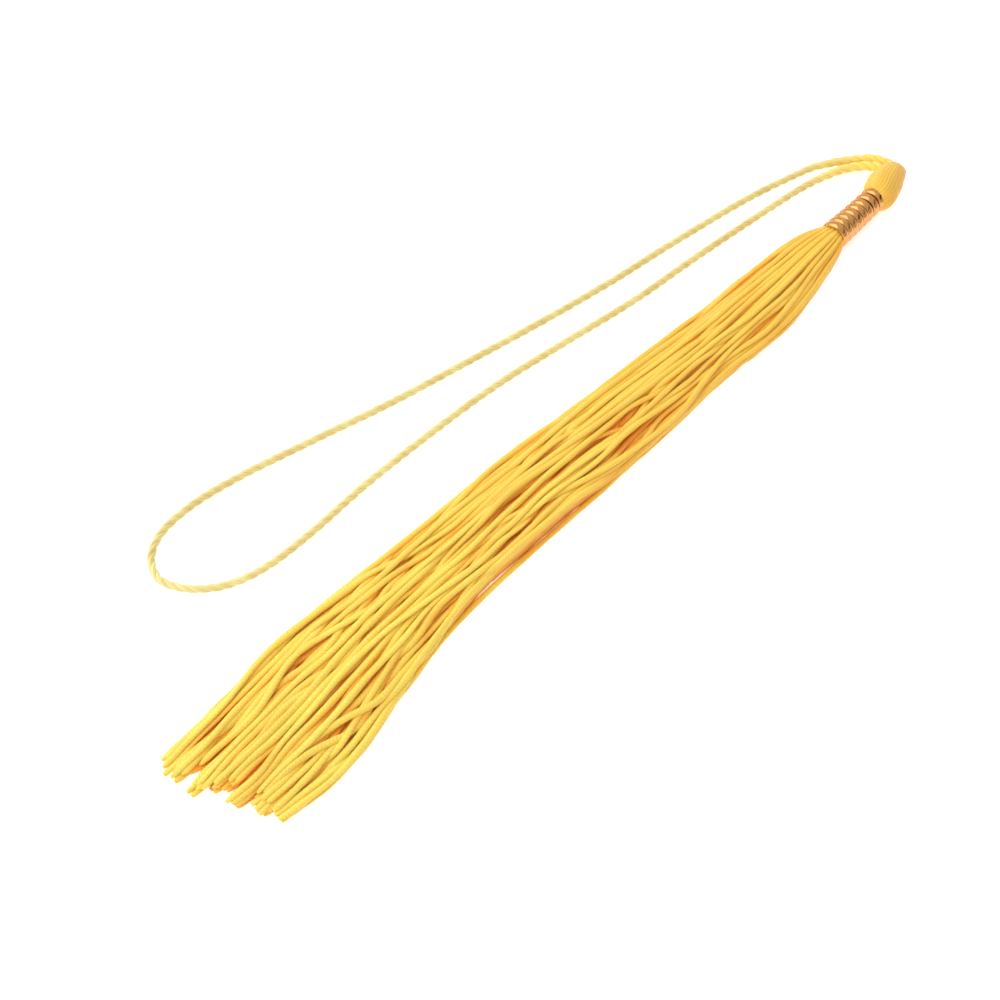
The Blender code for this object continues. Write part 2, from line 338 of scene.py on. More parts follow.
def addRelief(tree, shader, height, strength, depth):
    bump = addNode(tree, "ShaderNodeBump")
    setInputs(bump, {"Strength": strength, "Distance": depth * mm})
    feed(tree, bump.inputs["Height"], height)
    feed(tree, shader.inputs["Normal"], bump.outputs["Normal"])


# Hanging cord: three plies twisted together along the CAD's own route

cordSettings = {
    "diameter": 1.8, "lay": 7.8, "plies": 3, "step": 0.4, "ringPoints": 9,
    "plyRadius": 0.53, "helixRadius": 0.42, "rootLength": 26.0, "rootGrowth": 0.45,
    "mouthFloor": (4.78, 2.23, 4.4), "mouthAngle": 103.0, "spacing": 2.2, "clearance": 0.3, "straight": 3.0,
    "shadeColour": (0.74, 0.57, 0.20, 1.0), "lightColour": (0.85, 0.75, 0.31, 1.0),
    "rootColour": (0.94, 0.66, 0.09, 1.0), "fibreLay": -2.1, "fibres": 7.0, "relief": 0.05,
}
cordRoute = (
    (4.60, 7.97, 4.10),
    (2.40, 11.50, 2.95),
    (-0.02, 14.26, 2.15),
    (-2.60, 16.44, 1.60),
    (-5.39, 18.34, 1.25),
    (-12.0, 20.7, 0.97),
    (-24.0, 24.0, 0.95),
    (-48.0, 28.6, 0.95),
    (-68.0, 31.9, 0.95),
    (-88.0, 36.0, 0.95),
    (-108.0, 40.7, 0.95),
    (-128.0, 45.5, 0.95),
    (-148.0, 51.3, 0.95),
    (-168.0, 56.8, 0.95),
    (-179.0, 58.5, 0.95),
    (-187.5, 57.8, 0.95),
    (-192.5, 54.7, 0.95),
    (-194.5, 49.7, 0.95),
    (-192.3, 44.2, 0.95),
    (-188.0, 39.7, 0.95),
    (-183.0, 36.9, 0.95),
    (-176.0, 35.0, 0.95),
    (-164.0, 34.2, 0.95),
    (-148.0, 34.3, 0.95),
    (-128.0, 33.2, 0.95),
    (-108.0, 31.3, 0.95),
    (-88.0, 27.8, 0.95),
    (-68.0, 24.1, 0.95),
    (-48.0, 21.7, 0.95),
    (-24.0, 18.3, 0.95),
    (-12.0, 16.3, 0.97),
    (-7.07, 14.82, 1.25),
    (-4.34, 13.64, 1.60),
    (-1.78, 12.20, 2.15),
    (0.68, 9.92, 2.95),
    (2.29, 7.35, 3.85),
)


def smoothRoute(points, steps=12):
    # a smooth curve through the route's own points
    padded = [points[0] * 2.0 - points[1]] + points + [points[-1] * 2.0 - points[-2]]
    fine = []
    for index in range(1, len(padded) - 2):
        p0, p1, p2, p3 = padded[index - 1:index + 3]
        t1 = math.sqrt((p1 - p0).length)
        t2 = t1 + math.sqrt((p2 - p1).length)
        t3 = t2 + math.sqrt((p3 - p2).length)
        for step in range(steps):
            t = t1 + (t2 - t1) * step / steps
            a1 = p0.lerp(p1, t / t1)
            a2 = p1.lerp(p2, (t - t1) / (t2 - t1))
            a3 = p2.lerp(p3, (t - t2) / (t3 - t2))
            b1 = a1.lerp(a2, t / t2)
            b2 = a2.lerp(a3, (t - t1) / (t3 - t1))
            fine.append(b1.lerp(b2, (t - t1) / (t2 - t1)))
    fine.append(points[-1])
    return fine


def cordTree(plies):
    # helical copies of the centreline, each swept with a round ply
    tree, entry, leave = newTree("twistedCord", (
        ("Ring step", "NodeSocketFloat"), ("Ring points", "NodeSocketInt"), ("Ply radius", "NodeSocketFloat"),
        ("Helix radius", "NodeSocketFloat"), ("Lay", "NodeSocketFloat"), ("Root length", "NodeSocketFloat"),
        ("Root growth", "NodeSocketFloat"), ("Material", "NodeSocketMaterial"),
    ))
    resample = addNode(tree, "GeometryNodeResampleCurve", mode="LENGTH")
    feed(tree, resample.inputs["Curve"], entry["Geometry"])
    feed(tree, resample.inputs["Length"], entry["Ring step"])
    place = addNode(tree, "GeometryNodeSplineParameter").outputs
    line = storeValue(tree, resample.outputs[0], "along", place["Length"])
    # "root" is 1 at the cord's two ends and falls to 0 within the root length
    whole = addNode(tree, "GeometryNodeSplineLength").outputs["Length"]
    nearest = math2(tree, "MINIMUM", place["Factor"], math2(tree, "SUBTRACT", 1.0, place["Factor"]))
    root = math2(tree, "DIVIDE", math2(tree, "MULTIPLY", nearest, whole), entry["Root length"])
    root = math2(tree, "SUBTRACT", 1.0, math2(tree, "MINIMUM", root, 1.0))
    line = storeValue(tree, line, "root", root)
    growth = math2(tree, "MULTIPLY_ADD", readValue(tree, "root"), entry["Root growth"], 1.0)
    reach = math2(tree, "MULTIPLY", entry["Helix radius"], growth)
    size = math2(tree, "MULTIPLY", entry["Ply radius"], growth)
    profile = ringProfile(tree, entry["Ring points"])
    normal = addNode(tree, "GeometryNodeInputNormal").outputs["Normal"]
    tangent = addNode(tree, "GeometryNodeInputTangent").outputs[0]
    binormal = addNode(tree, "ShaderNodeVectorMath", operation="CROSS_PRODUCT")
    feed(tree, binormal.inputs[0], tangent)
    feed(tree, binormal.inputs[1], normal)
    turns = math2(tree, "MULTIPLY", math2(tree, "DIVIDE", readValue(tree, "along"), entry["Lay"]), 2.0 * math.pi)
    join = addNode(tree, "GeometryNodeJoinGeometry")
    for ply in range(plies):
        angle = math2(tree, "ADD", turns, 2.0 * math.pi * ply / plies)
        offset = addNode(tree, "ShaderNodeVectorMath", operation="ADD")
        for socket, direction, wave in zip(offset.inputs, (normal, binormal.outputs[0]), ("COSINE", "SINE")):
            scale = addNode(tree, "ShaderNodeVectorMath", operation="SCALE")
            feed(tree, scale.inputs[0], direction)
            feed(tree, scale.inputs["Scale"], math2(tree, "MULTIPLY", math2(tree, wave, angle), reach))
            feed(tree, socket, scale.outputs[0])
        move = addNode(tree, "GeometryNodeSetPosition")
        feed(tree, move.inputs["Geometry"], line)
        feed(tree, move.inputs["Offset"], offset.outputs[0])
        tree.links.new(sweepLine(tree, move.outputs[0], profile, size), join.inputs[0])
    finishTree(tree, join.outputs[0], entry["Material"], leave)
    return tree


def cordMaterial(settings):
    material, tree, shader = newMaterial("paleCord")
    height = patternHeight(tree, fibreGroup, {"Lay": settings["fibreLay"] * mm, "Fibres": settings["fibres"]})
    tone = math2(tree, "MULTIPLY_ADD", height, 0.08, noiseValue(tree, 180.0))
    light = rangeOf(tree, tone, 0.3, 0.75, 0.0, 1.0)
    colour = mixColour(tree, light, settings["shadeColour"], settings["lightColour"])
    root = rangeOf(tree, attributeValue(tree, "root"), 0.1, 0.8, 0.0, 0.9)
    feed(tree, shader.inputs["Base Color"], mixColour(tree, root, colour, settings["rootColour"]))
    setInputs(shader, {"Roughness": 0.45, "Sheen Weight": 0.3, "Sheen Roughness": 0.4})
    addRelief(tree, shader, height, 0.5, settings["relief"])
    return material


def makeCord(settings):
    angle = math.radians(settings["mouthAngle"])
    leaving = Vector((math.cos(angle), math.sin(angle), 0.0))
    sideways = Vector((leaving.y, -leaving.x, 0.0))
    floor = Vector(settings["mouthFloor"])
    outerEnd = floor + leaving * settings["clearance"] + sideways * settings["spacing"] / 2.0
    innerEnd = floor + leaving * settings["clearance"] - sideways * settings["spacing"] / 2.0
    straight = leaving * settings["straight"]
    route = [outerEnd, outerEnd + straight] + [Vector(point) for point in cordRoute] + [innerEnd + straight, innerEnd]
    line = smoothRoute(route)
    source = curveObject("cordLine", [[tuple(point) for point in line]])
    values = {
        "Ring step": settings["step"] * mm, "Ring points": settings["ringPoints"],
        "Ply radius": settings["plyRadius"] * mm, "Helix radius": settings["helixRadius"] * mm,
        "Lay": settings["lay"] * mm, "Root length": settings["rootLength"] * mm,
        "Root growth": settings["rootGrowth"], "Material": cordMaterial(settings),
    }
    piece = runTree(source, cordTree(settings["plies"]), values, "twisted_cord")
    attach(piece, "root")
    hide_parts("hanging_cord")
    path = [tuple(point * mm) for point in line]
    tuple(path[0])


makeCord(cordSettings)


# Yarn: knitted satin strands, swept along lines

yarnSettings = {
    "stitchLength": 0.85, "stitchSlant": 0.6, "relief": 0.05,
    # each pair spans the strands' random tone; the band's pair is darker and oranger than the ends' pair, painted
    # shade near the band and painted light toward the ends
    "bandDark": (0.91, 0.49, 0.05, 1.0), "bandLight": (0.94, 0.62, 0.08, 1.0),
    "endsDark": (0.92, 0.61, 0.075, 1.0), "endsLight": (0.945, 0.735, 0.11, 1.0),
    "paintedLightFrom": -20.0, "paintedLightTo": -170.0,  # where along the tassel the band's colours change to the ends'
    # painted shade in the valleys between stitches
    "stitchShadeColour": (0.88, 0.40, 0.03, 1.0), "stitchShadeShare": 0.22,
    # painted shade for strands that lie deep, in hollows or on the head's far side
    "deepShadeColour": (0.96, 0.34, 0.02, 1.0), "deepShadeShare": 0.92,
    "scatter": 0.25, "scatterReach": 0.8, "scatterColours": (1.0, 0.5, 0.08),
}


def strandTree():
    # a flat round section along each line, as wide as the line's own size
    tree, entry, leave = newTree("knittedStrands", (
        ("Ring step", "NodeSocketFloat"), ("Ring points", "NodeSocketInt"), ("Flatness", "NodeSocketFloat"),
        ("Seed", "NodeSocketInt"), ("Material", "NodeSocketMaterial"),
    ))
    curve = addNode(tree, "GeometryNodeMeshToCurve")
    feed(tree, curve.inputs[0], entry["Geometry"])
    level = addNode(tree, "GeometryNodeSetCurveNormal", mode="Z_UP")
    feed(tree, level.inputs["Curve"], curve.outputs[0])
    roll = addNode(tree, "GeometryNodeSetCurveTilt")
    feed(tree, roll.inputs["Curve"], level.outputs[0])
    feed(tree, roll.inputs["Tilt"], readValue(tree, "roll"))
    resample = addNode(tree, "GeometryNodeResampleCurve", mode="LENGTH")
    feed(tree, resample.inputs["Curve"], roll.outputs[0])
    feed(tree, resample.inputs["Length"], entry["Ring step"])
    random = addNode(tree, "FunctionNodeRandomValue", data_type="FLOAT")
    feed(tree, random.inputs["Seed"], entry["Seed"])
    tone = next(socket for socket in random.outputs if socket.type == "VALUE" and socket.enabled)
    line = storeValue(tree, resample.outputs[0], "tone", tone, domain="CURVE")
    line = storeValue(tree, line, "along", addNode(tree, "GeometryNodeSplineParameter").outputs["Length"])
    profile = squashProfile(tree, ringProfile(tree, entry["Ring points"]), 1.0, entry["Flatness"])
    finishTree(tree, sweepLine(tree, line, profile, readValue(tree, "size")), entry["Material"], leave)
    return tree


def yarnMaterial(settings):
    material, tree, shader = newMaterial("satinYarn")
    stitches = {"Stitch length": settings["stitchLength"] * mm, "Slant": settings["stitchSlant"]}
    height = patternHeight(tree, stitchGroup, stitches)
    cloud = noiseValue(tree, 60.0)
    tone = math2(tree, "MULTIPLY_ADD", attributeValue(tree, "tone"), 0.5, cloud)
    tone = rangeOf(tree, tone, 0.35, 1.15, 0.0, 1.0)
    along = axesOf(tree, addNode(tree, "ShaderNodeTexCoord").outputs["Object"])["X"]
    # painted light and shade along the tassel: from the band's darker, oranger colours to the ends' paler ones
    paintedLightTowardEnds = rangeOf(tree, along, settings["paintedLightFrom"] * mm, settings["paintedLightTo"] * mm, 0.0, 1.0)
    band = mixColour(tree, tone, settings["bandDark"], settings["bandLight"])
    ends = mixColour(tree, tone, settings["endsDark"], settings["endsLight"])
    colour = mixColour(tree, paintedLightTowardEnds, band, ends)
    # painted shade: the valleys between stitches are tinted a darker orange
    stitchShade = rangeOf(tree, height, -1.0, 0.2, 1.0, 0.0)
    stitchShade = math2(tree, "MULTIPLY", stitchShade, settings["stitchShadeShare"])
    colour = mixColour(tree, stitchShade, colour, settings["stitchShadeColour"])
    # painted shade: strands that lie deep under others, in hollows and on the head's far side take the deep orange
    deep = math2(tree, "MULTIPLY", attributeValue(tree, "deep"), settings["deepShadeShare"])
    feed(tree, shader.inputs["Base Color"], mixColour(tree, deep, colour, settings["deepShadeColour"]))
    feed(tree, shader.inputs["Roughness"], rangeOf(tree, cloud, 0.3, 0.7, 0.36, 0.5))
    setInputs(shader, {
        "Sheen Weight": 0.2, "Sheen Roughness": 0.35, "Subsurface Weight": settings["scatter"],
        "Subsurface Radius": settings["scatterColours"], "Subsurface Scale": settings["scatterReach"] * mm,
    })
    addRelief(tree, shader, height, 0.55, settings["relief"])
    return material


yarn = yarnMaterial(yarnSettings)
strands = strandTree()


# Skirt: single strands that settle side by side inside its outline

# Station, middle across, half width, underside, thickness
skirtSections = (
    (30.0, 0.1, 2.3, 1.8, 4.6),
    (32.9, 0.25, 3.4, 1.5, 5.4),
    (34.2, 0.6, 5.0, 1.2, 5.9),
    (36.5, 1.1, 5.9, 1.0, 6.3),
    (40.0, 1.4, 6.4, 0.7, 6.6),
    (46.0, 1.3, 7.3, 0.3, 7.0),
    (53.0, 0.8, 8.0, 0.0, 7.3),
    (60.0, 0.9, 8.7, 0.0, 7.3),
    (70.0, 1.3, 8.6, 0.0, 7.1),
    (80.0, 2.3, 8.6, 0.0, 7.0),
    (100.0, 3.4, 9.5, 0.0, 6.8),
    (120.0, 4.8, 10.4, 0.0, 6.5),
    (140.0, 6.0, 10.9, 0.0, 6.2),
    (160.0, 6.7, 11.0, 0.0, 5.9),
    (170.0, 6.8, 11.6, 0.0, 5.7),
    (180.0, 6.6, 12.8, 0.0, 5.5),
    (190.0, 6.1, 13.8, 0.0, 5.3),
    (200.0, 5.2, 15.1, 0.0, 5.1),
    (210.0, 4.5, 15.3, 0.0, 4.9),
    (220.0, 4.6, 14.3, 0.0, 4.7),
    (233.0, 5.5, 13.6, 0.0, 4.4),
)
# Cut ends: place across from -1 to 1, station of the mean cut
endSections = (
    (-1.0, 221.5),
    (-0.88, 223.0),
    (-0.72, 223.9),
    (-0.54, 224.0),
    (-0.38, 221.8),
    (-0.27, 227.0),
    (-0.1, 225.2),
    (0.08, 226.8),
    (0.2, 228.0),
    (0.25, 231.6),
    (0.32, 227.6),
    (0.44, 226.4),
    (0.58, 230.4),
    (0.75, 231.2),
    (0.9, 230.6),
    (1.0, 228.5),
)
# Clumps that the strands gather in at the cut ends, as places across
clumpPlaces = (-0.9, -0.7, -0.5, -0.26, -0.06, 0.1, 0.25, 0.62, 0.78, 0.92)
# Hollows in the top of the skirt: station, distance across from the middle, half length, half width
hollows = (
    (66.0, -5.2, 6.0, 1.0),
    (74.0, 6.4, 4.0, 0.6),
    (90.0, -3.4, 5.0, 0.8),
    (109.0, -1.6, 12.0, 1.3),
    (98.0, -7.0, 5.0, 1.0),
    (110.0, -6.2, 6.0, 1.2),
    (113.0, 0.5, 4.0, 0.5),
    (140.0, 0.8, 6.0, 0.6),
    (149.0, -6.4, 5.0, 0.9),
    (156.0, -4.2, 5.0, 1.0),
    (169.0, 4.8, 3.5, 0.9),
    (171.0, -7.4, 6.0, 0.8),
    (191.0, -7.3, 4.0, 0.6),
    (197.0, 7.7, 4.5, 0.7),
    (200.0, -9.0, 3.5, 0.6),
    (209.0, -8.3, 4.0, 0.7),
    (214.0, 2.2, 4.0, 0.7),
    (219.0, -2.7, 5.0, 1.1),
    (221.0, 10.5, 4.0, 1.0),
    (224.0, 5.5, 4.0, 0.8),
)
# Strands that cross over the others: stations with their distances across from the middle
crossings = (
    ((88.0, -3.6), (98.0, 0.4), (108.0, 0.7), (118.0, -0.2)),
    ((112.0, -4.0), (124.0, -7.2), (135.0, -9.9)),
    ((136.0, -5.0), (148.0, -9.0)),
    ((174.0, -6.8), (184.0, -9.5), (191.0, -12.4), (198.0, -13.6)),
    ((174.0, 4.7), (182.0, 2.6), (190.0, -0.1)),
    ((193.0, -11.6), (203.0, -7.4), (211.0, -6.2)),
    ((201.0, -11.4), (210.0, -7.6), (217.0, -7.0)),
)
# Wandering of single strands: size, wavelength, station where it starts and is full
wanders = (
    (1.5, 175.0, 40.0, 110.0),
    (1.0, 96.0, 45.0, 120.0),
    (0.65, 57.0, 70.0, 150.0),
    (0.45, 33.0, 130.0, 210.0),
    (0.65, 21.0, 188.0, 224.0),
)
skirtSettings = {
    "count": 100, "first": 30.5, "last": 232.5, "step": 1.9, "seed": 8,
    "halfWidth": 0.80, "flatness": 0.70, "packing": 1.0, "outlineFill": 0.86, "spread": 1.07,
    "clumping": 0.6, "clumpFrom": 196.0, "clumpTo": 222.0, "cutStation": 221.0, "endJitter": 1.7,
    # the loose strand along the front edge
    "edgeGap": 1.6, "edgeGapFrom": 112.0, "edgeGapTo": 186.0, "edgeInset": 0.15,
    "crossingChoice": 50, "crossingSearch": 12.0, "crossingRamp": 14.0,
    # short slits between the strands, beside the hollows
    "slits": 44, "slitFrom": 42.0, "slitReach": 182.0, "slitHalfLength": (3.0, 7.0), "slitHalfWidth": (0.22, 0.5),
    # what happens in each round of settling
    "rounds": 150, "lastRounds": 4, "contact": 0.92, "push": 0.30, "pushMost": 0.4, "pull": 0.03, "fall": 0.025,
    "crossingPull": 0.35, "crossingLift": 0.06, "liftRounds": 53, "spacePush": 0.7, "spaceDepth": 3.6,
    "smoothing": 0.22, "lastSmoothing": 0.32,
    # orange shade of strands that lie deep or in a hollow
    "coverReach": 1.5, "coverLeast": 0.45, "coverFull": 1.3, "hollowShade": 0.6,
    # each strand's own roll, swelling and cut, drawn between these
    "twist": (-0.3, 0.3), "lilt": (0.15, 0.45), "rollWave": (30.0, 70.0), "swellWave": (9.0, 16.0),
    "tipLength": (1.2, 3.2), "tipWidth": (0.5, 0.8),
    "ringStep": 1.0, "ringPoints": 10, "pieces": 4,
}


def skirtOutline(settings):
    # the outline at each station, and the radius with which the strands fill it
    stations = np.arange(settings["first"], settings["last"] + 0.01, settings["step"])
    rows = np.array([readTable(skirtSections, station) for station in stations])
    middle, halfWidth, underside, thickness = rows.T
    underside = np.maximum(underside, 0.0)
    area = settings["outlineFill"] * 2.0 * halfWidth * thickness
    radius = np.sqrt(area * settings["packing"] / (settings["count"] * math.pi * settings["flatness"]))
    radius = np.minimum(radius, settings["halfWidth"])
    return SimpleNamespace(
        stations=stations, middle=middle, halfWidth=halfWidth, underside=underside, thickness=thickness,
        top=underside + thickness, radius=radius, rise=radius * settings["flatness"],
    )


def planStrands(settings, skirt, rng):
    # strands leave the band as a round bunch, wander and gather in clumps at the ends
    count, stations, middle, halfWidth = settings["count"], skirt.stations, skirt.middle, skirt.halfWidth
    order = np.arange(count)
    away = np.sqrt((order + 0.5) / count)
    angle = order * math.pi * (3.0 - math.sqrt(5.0))  # the golden angle spreads them evenly
    startAcross, startUp = away * np.cos(angle), away * np.sin(angle)
    across = middle + (halfWidth - skirt.radius) * startAcross[:, None]
    upward = skirt.underside + skirt.thickness * 0.5 + (skirt.thickness * 0.5 - skirt.rise) * startUp[:, None]
    sway = np.zeros_like(across)
    gain = rng.choice((0.45, 0.85, 1.5), count, p=(0.45, 0.38, 0.17))[:, None]  # calm, usual and unruly strands
    for size, wavelength, start, full in wanders:
        length = wavelength * rng.uniform(0.8, 1.25, count)[:, None]
        phase = rng.uniform(0.0, 2.0 * math.pi, count)[:, None]
        ramp = gain * size * smoothStep(start, full, stations)
        sway += ramp * np.sin(2.0 * math.pi * stations / length + phase)
        upward += 0.5 * ramp * np.sin(2.0 * math.pi * stations / (length * 0.83) + 2.0 * phase)
    places = (across + sway - middle) / halfWidth * settings["spread"]
    clumps = np.array(clumpPlaces)
    nearest = clumps[np.abs(startAcross[:, None] - clumps).argmin(axis=1)][:, None]
    gather = settings["clumping"] * smoothStep(settings["clumpFrom"], settings["clumpTo"], stations)
    low = middle - halfWidth + skirt.radius
    high = middle + halfWidth - skirt.radius
    wanted = np.clip(middle + halfWidth * (places + gather * (nearest - places)), low, high)
    # one strand runs loose along the front edge, and the others leave a gap to it
    edge = int(np.argmin(startAcross))
    gapFrom, gapTo = settings["edgeGapFrom"], settings["edgeGapTo"]
    gap = smoothStep(gapFrom, gapFrom + 22.0, stations) * (1.0 - smoothStep(gapTo - 30.0, gapTo, stations))
    lowest = np.tile(low, (count, 1)) + settings["edgeGap"] * gap
    lowest[edge] = low
    wanted[edge] = low + settings["edgeInset"]
    topmost = [index for index in np.argsort(-startUp) if index != edge][:settings["crossingChoice"]]
    return SimpleNamespace(wanted=wanted, upward=upward, low=lowest, high=high, topmost=topmost)


def planCrossings(settings, skirt, plan):
    # the nearest of the topmost strands takes each route; gives its share of the way at each station
    over = {}
    for route in crossings:
        first, last = route[0][0], route[-1][0]
        target = np.interp(skirt.stations, *zip(*route))
        apart = np.abs(plan.wanted - skirt.middle - target)
        near = np.abs(skirt.stations - first) < settings["crossingSearch"]
        free = [index for index in plan.topmost if index not in over]
        chosen = min(free, key=lambda index: apart[index, near].mean())
        starting = smoothStep(first - settings["crossingRamp"], first, skirt.stations)
        share = starting * (1.0 - smoothStep(last, last + settings["crossingRamp"], skirt.stations))
        plan.wanted[chosen] = plan.wanted[chosen] * (1.0 - share) + (skirt.middle + target) * share
        over[chosen] = share
    return over


def cutEnds(settings, skirt, plan, rng):
    # the station where each strand is cut, from its place across near the ends
    last = np.abs(skirt.stations - settings["cutStation"]).argmin()
    places = (plan.wanted[:, last] - skirt.middle[last]) / skirt.halfWidth[last]
    ends = np.array([readTable(endSections, place)[0] for place in places])
    return ends + rng.uniform(-settings["endJitter"], settings["endJitter"], settings["count"])


def makeSlits(settings, skirt, rng):
    # rows like those of the hollows
    slits = []
    for slit in range(settings["slits"]):
        station = settings["slitFrom"] + settings["slitReach"] * (slit + rng.uniform(0.0, 1.0)) / settings["slits"]
        offset = rng.uniform(-0.85, 0.85) * float(np.interp(station, skirt.stations, skirt.halfWidth))
        halfLength, halfWidth = rng.uniform(*settings["slitHalfLength"]), rng.uniform(*settings["slitHalfWidth"])
        slits.append((station, offset, halfLength, halfWidth))
    return slits


def nearStation(stations, station, halfLength):
    # 1 at the station, falling smoothly to 0 on both sides
    return np.exp(-((stations - station) / halfLength) ** 2)


def settleStrands(settings, skirt, plan, over, spaces, alive):
    # strands push each other apart, fall, keep the spaces free and stay inside the outline
    order = np.arange(settings["count"])
    freedom = smoothStep(31.0, 40.0, skirt.stations)  # the wire holds them at the band
    position = np.stack((plan.wanted, plan.upward), axis=-1)
    home = position.copy()
    squash = np.array((1.0, 1.0 / settings["flatness"]))
    for turn in range(settings["rounds"]):
        settling = turn >= settings["rounds"] - settings["lastRounds"]
        scaled = position * squash
        gap = scaled[:, None] - scaled[None]
        distance = np.linalg.norm(gap, axis=-1) + 1e-6
        overlap = np.clip(2.0 * skirt.radius * settings["contact"] - distance, 0.0, None)
        overlap = overlap * alive[:, None] * alive[None]
        overlap[order, order] = 0.0
        push = (gap / distance[..., None] * overlap[..., None]).sum(axis=1) * settings["push"]
        push = np.clip(push, -settings["pushMost"], settings["pushMost"]) / squash
        position += push * freedom[:, None]
        position[..., 0] += settings["pull"] * (plan.wanted - position[..., 0])
        position[..., 1] -= settings["fall"] * freedom
        # crossing strands are held up at first, and fall on the others later
        lift = settings["crossingLift"] if turn < settings["liftRounds"] else 0.0
        for index, share in over.items():
            position[index, :, 0] += settings["crossingPull"] * share * (plan.wanted[index] - position[index, :, 0])
            position[index, :, 1] += lift * share
        for station, offset, halfLength, halfSpace in (() if settling else spaces):
            space = halfSpace * nearStation(skirt.stations, station, halfLength)
            beside = position[..., 0] - skirt.middle - offset
            reach = 1.2 * space + skirt.radius * 0.85
            inside = np.clip(reach - np.abs(beside), 0.0, None) * np.minimum(space * 4.0, 1.0)
            inside = inside * (position[..., 1] > skirt.top - settings["spaceDepth"])
            position[..., 0] += settings["spacePush"] * inside * np.where(beside < 0.0, -1.0, 1.0)
        inner = position[:, 1:-1]
        smoothing = settings["lastSmoothing"] if settling else settings["smoothing"]
        inner += smoothing * (position[:, :-2] + position[:, 2:] - 2.0 * inner)
        position[..., 0] = np.clip(position[..., 0], plan.low, plan.high)
        position[..., 1] = np.clip(position[..., 1], skirt.underside + skirt.rise, skirt.top + 0.3)
        position[:, :2] = home[:, :2]
    return position


def findDeep(settings, skirt, position, over, alive):
    # how deep each strand lies under the strands beside it, from 0 to 1
    near = np.abs(position[:, None, :, 0] - position[None, :, :, 0]) < settings["coverReach"]
    above = np.where(near & alive[None, :, :], position[None, :, :, 1], 0.0).max(axis=1)
    deep = np.clip((above - position[..., 1] - settings["coverLeast"]) / settings["coverFull"], 0.0, 1.0)
    deep *= 1.0 - 0.7 * smoothStep(0.75, 0.95, np.abs(position[..., 0] - skirt.middle) / skirt.halfWidth)
    crossing = np.zeros_like(deep)
    for index, share in over.items():
        crossing[index] = share
    for station, offset, halfLength, halfSpace in hollows:
        # strands seen in a hollow lie in warm shade, but not those that cross it
        beside = np.abs(position[..., 0] - skirt.middle - offset)
        shade = np.clip(1.5 - beside / (0.55 + 0.45 * halfSpace), 0.0, 1.0)
        shade = shade * nearStation(skirt.stations, station, halfLength)
        deep = np.maximum(deep, settings["hollowShade"] * shade * min(halfSpace, 1.0) * (1.0 - crossing))
    return deep


def strandLine(settings, skirt, across, upward, deep, end, rng):
    # points of one strand, which swells and rolls along its way and narrows at its cut
    twist, lilt = rng.uniform(*settings["twist"]), rng.uniform(*settings["lilt"])
    phase = rng.uniform(0.0, 2.0 * math.pi, 3)
    wavelength, bulge = rng.uniform(*settings["rollWave"]), rng.uniform(*settings["swellWave"])
    tip, point = rng.uniform(*settings["tipLength"]), rng.uniform(*settings["tipWidth"])
    places = [station for station in skirt.stations if station < end - tip]
    places += [end - tip * share for share in (1.0, 0.6, 0.3, 0.1, 0.0)]
    line = []
    for station in places:
        rows = (across, upward, skirt.radius, deep)
        y, z, size, depth = (float(np.interp(station, skirt.stations, row)) for row in rows)
        size *= 1.0 + 0.05 * math.sin(2.0 * math.pi * station / bulge + phase[1])
        size *= 1.0 + 0.04 * math.sin(2.0 * math.pi * station / (bulge * 0.37) + phase[2])
        left = max(0.0, (end - station) / tip)
        size *= point + (1.0 - point) * math.sqrt(1.0 - (1.0 - min(left, 1.0)) ** 2)
        tilt = twist + lilt * math.sin(2.0 * math.pi * station / wavelength + phase[0])
        tilt *= float(smoothStep(40.0, 90.0, station))
        line.append((headTip - station, y, z, size, tilt, depth))
    return line


def makeSkirt(settings):
    rng = np.random.default_rng(settings["seed"])
    skirt = skirtOutline(settings)
    plan = planStrands(settings, skirt, rng)
    over = planCrossings(settings, skirt, plan)
    ends = cutEnds(settings, skirt, plan, rng)
    spaces = list(hollows) + makeSlits(settings, skirt, rng)
    alive = skirt.stations <= ends[:, None]  # at the stations before its cut
    position = settleStrands(settings, skirt, plan, over, spaces, alive)
    deep = findDeep(settings, skirt, position, over, alive)
    lines = []
    for index in range(settings["count"]):
        across, upward = position[index].T
        lines.append(strandLine(settings, skirt, across, upward, deep[index], ends[index], rng))
    for piece in range(settings["pieces"]):
        source = lineObject("skirtLines", lines[piece::settings["pieces"]])
        values = {
            "Ring step": settings["ringStep"] * mm, "Ring points": settings["ringPoints"],
            "Flatness": settings["flatness"], "Seed": piece, "Material": yarn,
        }
        obj = runTree(source, strands, values, "skirt_strands_" + "abcd"[piece])
        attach(obj, "root")
        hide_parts("yarn_hank")


makeSkirt(skirtSettings)


# Head: strands folded over the cord at the tip, round a filled middle

# Station, middle across, half width, half height
headSections = (
    (3.6, 1.1, 1.6, 0.35),
    (4.0, 1.2, 2.0, 1.3),
    (4.6, 1.3, 2.4, 2.15),
    (5.6, 1.35, 2.95, 2.9),
    (6.9, 1.25, 3.4, 3.4),
    (8.2, 1.0, 3.75, 3.8),
    (9.6, 0.85, 4.1, 4.1),
    (11.0, 0.7, 4.35, 4.25),
    (12.5, 0.4, 4.5, 4.3),
    (13.8, 0.15, 4.4, 4.25),
    (15.0, 0.1, 4.15, 4.0),
    (15.9, 0.1, 3.7, 3.6),
    (16.5, 0.05, 3.1, 3.0),
    (17.2, 0.0, 2.5, 2.5),
    (18.4, 0.0, 2.2, 2.2),
)
headSettings = {
    "folds": 17, "twist": 28.0, "overlap": 1.62, "smallest": 0.36, "lean": 0.6, "first": 3.62, "last": 18.2,
    "stepCount": 46, "ringStep": 0.34, "ringPoints": 10, "flatness": 0.95, "inset": 0.9, "seed": 9,
    "fillShare": 0.84, "fillSides": 24,
}


